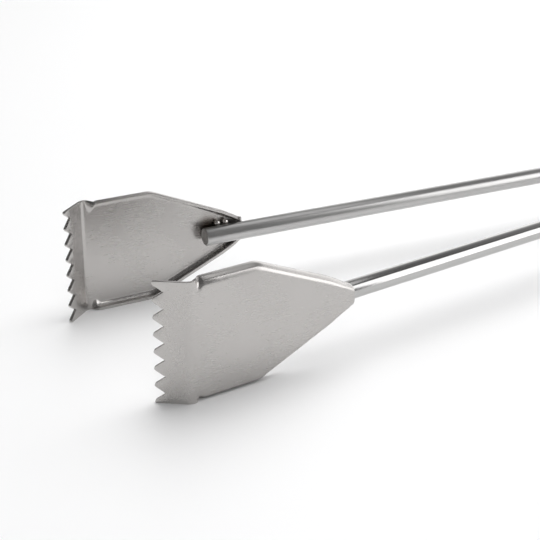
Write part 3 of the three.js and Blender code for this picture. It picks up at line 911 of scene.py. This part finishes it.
def math_node(tree, operation, first, second, third=None):
    """One math node. Each value is a socket or a number."""
    node = tree.nodes.new("ShaderNodeMath")
    node.operation = operation
    for socket, value in zip(node.inputs, (first, second, third)):
        if isinstance(value, bpy.types.NodeSocket):
            tree.links.new(value, socket)
        elif value is not None:
            socket.default_value = value
    return node.outputs["Value"]


def mix_colour(tree, share, first, second):
    """A colour between two colour sockets."""
    node = tree.nodes.new("ShaderNodeMix")
    node.data_type = "RGBA"
    tree.links.new(share, node.inputs["Factor"])
    tree.links.new(first, node.inputs[6])
    tree.links.new(second, node.inputs[7])
    return node.outputs[2]


grain_group, into, out = new_group(
    "belt_grain", [("Vector", "Vector"), ("Along", "Float"), ("Across", "Float")], [("Grain", "Float")])
fine = stretched(grain_group, into.outputs["Vector"], into.outputs["Along"], into.outputs["Across"])
fine = noise(grain_group, fine, detail=3.0, roughness=0.6)
grain_group.links.new(fine, out.inputs["Grain"])

smudge_group, into, out = new_group(
    "handling_smudges", [("Vector", "Vector"), ("Scale", "Float")], [("Smudge", "Float")])
wide = stretched(smudge_group, into.outputs["Vector"], into.outputs["Scale"], into.outputs["Scale"])
wide = noise(smudge_group, wide, detail=2.0, roughness=0.45)
contrast, middle_shift = 1.6, -0.3
wide = math_node(smudge_group, "MULTIPLY_ADD", wide, contrast, middle_shift)
smudge_group.links.new(wide, out.inputs["Smudge"])

finish_group, into, out = new_group(
    "steel_finish",
    [("Vector", "Vector"), ("Along", "Float"), ("Across", "Float"), ("Smudge Scale", "Float"),
     ("Rubbed And Highlit", "Float"), ("Base", "Color"), ("Shade", "Color"), ("Edge", "Color"),
     ("Roughness", "Float"), ("Spread", "Float"),
     ("Grain Spread", "Float"), ("Edge Roughness", "Float")],
    [("Color", "Color"), ("Roughness", "Float"), ("Grain", "Float"), ("Smudge", "Float")])
grain = finish_group.nodes.new("ShaderNodeGroup")
grain.node_tree = grain_group
smudge = finish_group.nodes.new("ShaderNodeGroup")
smudge.node_tree = smudge_group
for node, pairs in ((grain, ("Vector", "Along", "Across")), (smudge, ("Vector",))):
    for label in pairs:
        finish_group.links.new(into.outputs[label], node.inputs[label])
finish_group.links.new(into.outputs["Smudge Scale"], smudge.inputs["Scale"])
clamped = finish_group.nodes.new("ShaderNodeClamp")
finish_group.links.new(smudge.outputs["Smudge"], clamped.inputs["Value"])
tint = mix_colour(finish_group, clamped.outputs["Result"], into.outputs["Base"], into.outputs["Shade"])
# Over the rounded edges the colour turns to the brighter edge colour: partly the rub of wear, partly a painted
# highlight for the glint along each edge.
tint = mix_colour(finish_group, into.outputs["Rubbed And Highlit"], tint, into.outputs["Edge"])
smudged = math_node(finish_group, "SUBTRACT", clamped.outputs["Result"], 0.5)
grained = math_node(finish_group, "SUBTRACT", grain.outputs["Grain"], 0.5)
rough = math_node(finish_group, "MULTIPLY_ADD", smudged, into.outputs["Spread"], into.outputs["Roughness"])
rough = math_node(finish_group, "MULTIPLY_ADD", grained, into.outputs["Grain Spread"], rough)
edged = math_node(finish_group, "SUBTRACT", into.outputs["Edge Roughness"], rough)
rough = math_node(finish_group, "MULTIPLY_ADD", edged, into.outputs["Rubbed And Highlit"], rough)
for label, socket in (("Color", tint), ("Roughness", rough), ("Grain", grain.outputs["Grain"]),
                      ("Smudge", smudge.outputs["Smudge"])):
    finish_group.links.new(socket, out.inputs[label])

# The brown near the bar's end on the heads is partly heat tint from the welds and partly painted shade, with a
# painted reflection of the bar in the plate.
heat_and_shade_group, into, out = new_group(
    "weld_heat_and_shade", [("Vector", "Vector"), ("Place", "Vector"), ("Reach", "Float")], [("Heat And Shade", "Float")])
away = heat_and_shade_group.nodes.new("ShaderNodeVectorMath")
away.operation = "DISTANCE"
heat_and_shade_group.links.new(into.outputs["Vector"], away.inputs[0])
heat_and_shade_group.links.new(into.outputs["Place"], away.inputs[1])
nearness = heat_and_shade_group.nodes.new("ShaderNodeMapRange")
nearness.interpolation_type = "SMOOTHSTEP"
nearness.inputs["To Min"].default_value = 1.0
nearness.inputs["To Max"].default_value = 0.0
heat_and_shade_group.links.new(away.outputs["Value"], nearness.inputs["Value"])
heat_and_shade_group.links.new(into.outputs["Reach"], nearness.inputs["From Max"])
heat_and_shade_group.links.new(nearness.outputs["Result"], out.inputs["Heat And Shade"])
print("effects:", [group.name for group in bpy.data.node_groups])

# %% [markdown]
# A steel is one Principled shader, fully metallic. The finish group feeds its colour and its roughness, and
# the grain and the smudges together give the height of a very shallow bump, which breaks up the long
# reflections. The Mapping node turns the grain so that it runs along the arm that the piece is on. The
# bars' end faces get a duller steel of their own, as a saw leaves them.

# %% Build a steel
def steel(name, turn, along, across_it, base, shade, edge, roughness, spread, grain_spread, edge_roughness,
          smudge_scale, bump_depth, grain_share=0.25, heat_and_shade_at=None):
    """One steel. Its grain is turned to run along the arm, and where asked the welds' heat tint is added, with
    painted shade and a painted reflection of the bar round its end.
    """
    material = bpy.data.materials.new(name)
    material.use_nodes = True
    tree = material.node_tree
    shader = tree.nodes["Principled BSDF"]
    shader.inputs["Metallic"].default_value = 1.0
    where = tree.nodes.new("ShaderNodeTexCoord")
    mapping = tree.nodes.new("ShaderNodeMapping")
    mapping.inputs["Rotation"].default_value = (0, 0, turn)
    tree.links.new(where.outputs["Object"], mapping.inputs["Vector"])
    # The rounded edges read here get the brighter edge colour, partly wear and partly a painted highlight.
    rubbed_and_highlit = tree.nodes.new("ShaderNodeAttribute")
    rubbed_and_highlit.attribute_name = "rubbed_and_highlit_edge"
    finish = tree.nodes.new("ShaderNodeGroup")
    finish.node_tree = finish_group
    tree.links.new(mapping.outputs["Vector"], finish.inputs["Vector"])
    tree.links.new(rubbed_and_highlit.outputs["Fac"], finish.inputs["Rubbed And Highlit"])
    values = {
        "Along": along, "Across": across_it, "Smudge Scale": smudge_scale, "Base": (*base, 1),
        "Shade": (*shade, 1), "Edge": (*edge, 1), "Roughness": roughness, "Spread": spread,
        "Grain Spread": grain_spread,
        "Edge Roughness": edge_roughness,
    }
    for label, value in values.items():
        finish.inputs[label].default_value = value
    colour = finish.outputs["Color"]
    # Round the bar's end the inner face turns brown: the welds' heat tint, and painted shade with a painted
    # reflection of the bar.
    if heat_and_shade_at:
        heat_and_shade = tree.nodes.new("ShaderNodeGroup")
        heat_and_shade.node_tree = heat_and_shade_group
        heat_and_shade.inputs["Place"].default_value = heat_and_shade_at
        heat_and_shade.inputs["Reach"].default_value = heat_and_shade_reach
        tree.links.new(where.outputs["Object"], heat_and_shade.inputs["Vector"])
        brown_of_heat_and_shade = tree.nodes.new("ShaderNodeRGB")
        brown_of_heat_and_shade.outputs["Color"].default_value = (*heat_and_shade_brown, 1)
        inner = tree.nodes.new("ShaderNodeAttribute")
        inner.attribute_name = "inner_side"
        reached = math_node(tree, "MULTIPLY", heat_and_shade.outputs["Heat And Shade"], inner.outputs["Fac"])
        colour = mix_colour(tree, reached, colour, brown_of_heat_and_shade.outputs["Color"])
    tree.links.new(colour, shader.inputs["Base Color"])
    tree.links.new(finish.outputs["Roughness"], shader.inputs["Roughness"])
    height = math_node(tree, "MULTIPLY_ADD", finish.outputs["Grain"], grain_share, finish.outputs["Smudge"])
    bump = tree.nodes.new("ShaderNodeBump")
    bump.inputs["Strength"].default_value = 1.0
    bump.inputs["Distance"].default_value = bump_depth
    tree.links.new(height, bump.inputs["Height"])
    tree.links.new(bump.outputs["Normal"], shader.inputs["Normal"])
    return material


def paint(piece, material):
    """Gives a piece one material."""
    piece.data.materials.clear()
    piece.data.materials.append(material)


# The brown and its reach paint the welds' heat tint, together with shade and the bar's reflection, round the
# bar's end.
heat_and_shade_reach = 5.5 * mm
heat_and_shade_brown = (0.16, 0.13, 0.105)
bar_roughness = {"near": 0.13, "far": 0.30}
sawn_end = steel(
    "sawn_bar_end", 0, along=2500, across_it=2500, base=(0.36, 0.35, 0.34), shade=(0.30, 0.29, 0.28),
    edge=(0.55, 0.54, 0.53), roughness=0.45, spread=0.10, grain_spread=0.20, edge_roughness=0.3,
    smudge_scale=300, bump_depth=0.00004,
)
for arm, side in arms.items():
    turn = -side * open_half_angle
    on_straight_arm = hinge + Vector((bar_end - 2.5 * mm, side * (seat - 0.2 * mm), 2.6 * mm))
    opened = Matrix.Rotation(side * open_half_angle, 3, "Z")
    satin = steel(
        arm + "_satin_sheet", turn, along=260, across_it=2600, base=(0.545, 0.528, 0.515),
        shade=(0.505, 0.488, 0.475), edge=(0.66, 0.645, 0.63), roughness=0.27, spread=0.04,
        grain_spread=0.05, edge_roughness=0.24, smudge_scale=60, bump_depth=0.000005,
        heat_and_shade_at=hinge + opened @ (on_straight_arm - hinge),
    )
    paint(head_pieces[arm], satin)
    polished = steel(
        arm + "_polished_bar", turn, along=120, across_it=1800, base=(0.54, 0.535, 0.53),
        shade=(0.50, 0.495, 0.49), edge=(0.50, 0.495, 0.49), roughness=bar_roughness[arm], spread=0.05,
        grain_spread=0.05, edge_roughness=0.3, smudge_scale=90, bump_depth=0.000008,
    )
    paint(bar_pieces[arm], polished)
    bar_pieces[arm].data.materials.append(sawn_end)
    for face in bar_pieces[arm].data.polygons:
        face.material_index = int(abs(face.normal.x) > 0.98)
    brushed = steel(
        arm + "_brushed_channel", turn, along=90, across_it=3000, base=(0.52, 0.51, 0.495),
        shade=(0.47, 0.46, 0.445), edge=(0.68, 0.67, 0.65), roughness=0.28, spread=0.08,
        grain_spread=0.20, edge_roughness=0.24, smudge_scale=45, bump_depth=0.00002,
    )
    paint(handle_pieces[arm], brushed)

weld_metal = steel(
    "bright_weld", 0, along=1500, across_it=1500, base=(0.78, 0.76, 0.73), shade=(0.60, 0.56, 0.52),
    edge=(0.7, 0.7, 0.7), roughness=0.24, spread=0.14, grain_spread=0.1, edge_roughness=0.3,
    smudge_scale=500, bump_depth=0.00003,
)
for weld in weld_pieces:
    paint(weld, weld_metal)
turned_steel = steel(
    "turned_hinge_steel", 0, along=1600, across_it=1600, base=(0.64, 0.63, 0.61), shade=(0.57, 0.56, 0.54),
    edge=(0.75, 0.74, 0.72), roughness=0.26, spread=0.10, grain_spread=0.12, edge_roughness=0.2,
    smudge_scale=220, bump_depth=0.00003,
)
for name in ("hinge_rivet", "upper_thrust_washer", "lower_thrust_washer", "spring_sleeve"):
    paint(bpy.data.objects[name], turned_steel)
drawn_wire = steel(
    "drawn_spring_wire", 0, along=900, across_it=900, base=(0.50, 0.495, 0.49), shade=(0.42, 0.415, 0.41),
    edge=(0.6, 0.6, 0.6), roughness=0.28, spread=0.10, grain_spread=0.12, edge_roughness=0.3,
    smudge_scale=260, bump_depth=0.00002,
)
paint(spring, drawn_wire)
bright_wire = steel(
    "polished_loop_wire", 0, along=700, across_it=700, base=(0.70, 0.695, 0.69), shade=(0.63, 0.625, 0.62),
    edge=(0.75, 0.75, 0.74), roughness=0.14, spread=0.06, grain_spread=0.06, edge_roughness=0.25,
    smudge_scale=160, bump_depth=0.00001,
)
paint(loop, bright_wire)
print("steels:", sorted(material.name for material in bpy.data.materials if material.users))

# %% [markdown]
# ## The floor and the light
#
# The tongs lie on plain white card. Polished steel shows only what stands round it, so the light is built
# for its reflections: a window wall beside the bars, a bright wall on one side of the room that fades with
# height, and dim walls and ceiling round the rest. The window gives each bar its white stripe, and the dim
# ceiling the dark line beside it. A large soft light overhead brightens the card and a fill lights the
# heads. Both are hidden from reflections, or they would wash out the dark line. The window is kept off the
# card by light linking, because the card's gloss would mirror it as a patch with hard edges.

# %% Lay the floor
start_clean()
bpy.ops.mesh.primitive_plane_add(size=6.0)
floor = bpy.context.object
floor.name = "white_card"
edit(floor)
bpy.ops.mesh.select_all(action="SELECT")
bpy.ops.mesh.subdivide(number_cuts=8)
bpy.ops.object.mode_set(mode="OBJECT")
card = bpy.data.materials.new("pale_card")
card.use_nodes = True
card_shader = card.node_tree.nodes["Principled BSDF"]
card_shader.inputs["Roughness"].default_value = 0.45
card_shader.inputs["Specular IOR Level"].default_value = 0.4
card_where = card.node_tree.nodes.new("ShaderNodeTexCoord")
card_mix = card.node_tree.nodes.new("ShaderNodeMix")
card_mix.data_type = "RGBA"
card_mix.inputs[6].default_value = (0.90, 0.90, 0.905, 1)
card_mix.inputs[7].default_value = (0.93, 0.93, 0.93, 1)
cloudy = noise(card.node_tree, card_where.outputs["Object"], detail=2.0, roughness=0.5)
card.node_tree.links.new(cloudy, card_mix.inputs["Factor"])
card.node_tree.links.new(card_mix.outputs[2], card_shader.inputs["Base Color"])
paint(floor, card)

# %% Light the scene
scene = bpy.context.scene
scene.view_settings.view_transform = "Standard"
between_heads = Vector((0.17, 0, 0.02))

not_on_the_card = bpy.data.collections.new("not_on_the_card")
not_on_the_card.objects.link(floor)
not_on_the_card.collection_objects[0].light_linking.link_state = "EXCLUDE"


def panel(name, place, size, glow, facing=None, in_reflections=True, on_floor=True):
    """A soft rectangular light, facing the heads unless told otherwise. A glow of 1 looks white."""
    data = bpy.data.lights.new(name, "AREA")
    data.shape = "RECTANGLE"
    data.size, data.size_y = size
    data.energy = glow * pi * size[0] * size[1]
    lamp = bpy.data.objects.new(name, data)
    scene.collection.objects.link(lamp)
    lamp.location = place
    facing = facing or between_heads - Vector(place)
    lamp.rotation_euler = facing.to_track_quat("-Z", "Y").to_euler()
    lamp.visible_camera = False
    lamp.visible_glossy = in_reflections
    lamp.visible_diffuse = on_floor
    if not on_floor:
        lamp.light_linking.receiver_collection = not_on_the_card
    return lamp


panel("overhead_soft_light", (-0.45, -0.45, 1.5), (1.8, 1.8), 3.0, in_reflections=False)
panel("front_fill", (0.75, 0.85, 1.1), (1.2, 1.2), 1.15, in_reflections=False)
panel("ceiling_box", (-0.175, -0.12, 0.8), (0.25, 0.75), 0.9, facing=Vector((0, 0, -1)))
panel("window_wall", (-0.82, 0.50, 0.445), (1.26, 0.89), 2.0, facing=Vector((0, -1, 0)), on_floor=False)

world = bpy.data.worlds.new("studio")
scene.world = world
world.use_nodes = True
sky = world.node_tree
background = sky.nodes["Background"]
direction = sky.nodes.new("ShaderNodeTexCoord").outputs["Generated"]
parts = sky.nodes.new("ShaderNodeSeparateXYZ")
sky.links.new(direction, parts.inputs["Vector"])


def glow_by_height(*levels):
    """A glow that changes with the height of a direction, from (height, glow) pairs."""
    ramp = sky.nodes.new("ShaderNodeValToRGB")
    sky.links.new(parts.outputs["Z"], ramp.inputs["Fac"])
    stops = ramp.color_ramp.elements
    while len(stops) < len(levels):
        stops.new(0.5)
    for stop, (height, glow) in zip(stops, levels):
        stop.position = height
        stop.color = (glow, glow, glow, 1)
    return ramp.outputs["Color"]


def share_towards(compass_angle, inside, outside):
    """How much a direction faces one side: 1 within one angle of it and 0 beyond another."""
    level = sky.nodes.new("ShaderNodeVectorMath")
    level.operation = "MULTIPLY"
    level.inputs[1].default_value = (1, 1, 0)
    unit = sky.nodes.new("ShaderNodeVectorMath")
    unit.operation = "NORMALIZE"
    facing = sky.nodes.new("ShaderNodeVectorMath")
    facing.operation = "DOT_PRODUCT"
    facing.inputs[1].default_value = (-sin(compass_angle), cos(compass_angle), 0)
    share = sky.nodes.new("ShaderNodeMapRange")
    share.interpolation_type = "SMOOTHSTEP"
    share.inputs["From Min"].default_value = cos(outside)
    share.inputs["From Max"].default_value = cos(inside)
    sky.links.new(direction, level.inputs[0])
    sky.links.new(level.outputs["Vector"], unit.inputs[0])
    sky.links.new(unit.outputs["Vector"], facing.inputs[0])
    sky.links.new(facing.outputs["Value"], share.inputs["Value"])
    return share.outputs["Result"]


dim_side = glow_by_height((0.0, 0.45), (0.04, 0.25), (0.14, 0.2), (0.6, 0.16), (1.0, 0.12))
back_wall = glow_by_height((0.0, 1.7), (0.10, 1.6), (0.44, 1.2), (0.54, 0.55), (0.70, 0.28), (0.85, 0.13))
glow = mix_colour(sky, share_towards(radians(115), radians(30), radians(43)), dim_side, back_wall)
sky.links.new(glow, background.inputs["Color"])
